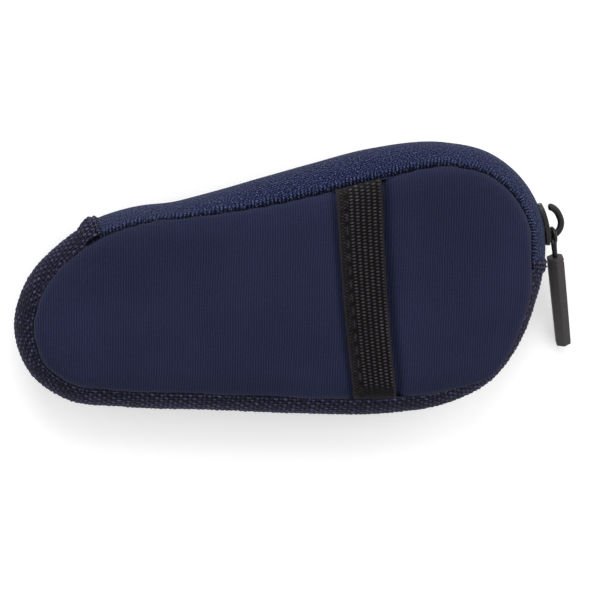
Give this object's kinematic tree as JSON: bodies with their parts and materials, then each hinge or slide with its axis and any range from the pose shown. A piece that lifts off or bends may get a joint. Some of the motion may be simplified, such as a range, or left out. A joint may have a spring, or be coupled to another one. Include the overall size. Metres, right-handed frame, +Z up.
{
  "type": "headphone carrying case",
  "caption": "Soft padded carrying case with a rounded teardrop outline, a zip along the top and lobe, a webbing gusset, an elastic strap across the front and a hexagonal zip puller.",
  "frame": {"origin": "middle of the flat face of the back panel, which the case lies on", "axes": "+Z up through the front panel, +X along the case towards its round lobe, +Y across the case towards the zip"},
  "size_m": [0.1599, 0.0766, 0.0314],
  "materials": {
    "knit_cover": "fine vertical rib knit, navy, matt",
    "foam": "closed-cell foam, matt grey",
    "lining": "brushed tricot, near black",
    "webbing": "coarse basket-weave nylon webbing, dark navy, slight sheen",
    "zip_tape": "herringbone zip tape, navy",
    "zip_coil": "polyester coil and stops, dark, slight gloss",
    "binding": "grosgrain bias binding, near black",
    "elastic": "woven elastic, black, with flat stitched edge",
    "slider_metal": "painted die-cast zinc, black, satin",
    "grip_rubber": "matt black moulded rubber"
  },
  "bodies": {
    "case_body": {"back_panel_cover": "knit_cover", "back_panel_foam": "foam", "back_panel_lining": "lining", "front_cover_lower": "knit_cover", "front_foam_lower": "foam", "front_lining_lower": "lining", "gusset_webbing": "webbing", "webbing_fold_left": "webbing", "webbing_fold_right": "webbing", "zip_tape_back": "zip_tape", "zip_coil_back": "zip_coil", "zip_stop_left": "zip_coil", "zip_stop_right": "zip_coil", "back_seam_binding": "binding", "front_seam_binding_lower": "binding", "strap_lower": "elastic"},
    "mouth_flap": {"front_cover_upper": "knit_cover", "front_foam_upper": "foam", "front_lining_upper": "lining", "zip_tape_front": "zip_tape", "zip_coil_front": "zip_coil", "front_seam_binding_upper": "binding", "strap_upper": "elastic"},
    "slider": {"slider_body": "slider_metal"},
    "puller": {"puller_eye": "slider_metal", "puller_grip": "grip_rubber"}
  },
  "joints": [
    {"name": "mouth_open", "type": "hinge", "parent": "case_body", "child": "mouth_flap", "pos_m": [0.00823, 0.00905, 0.0316], "axis": [0.9988, -0.0481, 0], "range_deg": [0, 60], "deforming": ["zip_tape_front", "zip_coil_front"]},
    {"name": "slider_travel", "type": "hinge", "parent": "case_body", "child": "slider", "pos_m": [0.0441, 0.009, 0.015], "axis": [0, 0, 1], "range_deg": [0, 72]},
    {"name": "puller_swing", "type": "hinge", "parent": "slider", "child": "puller", "pos_m": [0.07387, 0.01587, 0.015], "axis": [0, 0, 1], "range_deg": [0, 110]}
  ]
}
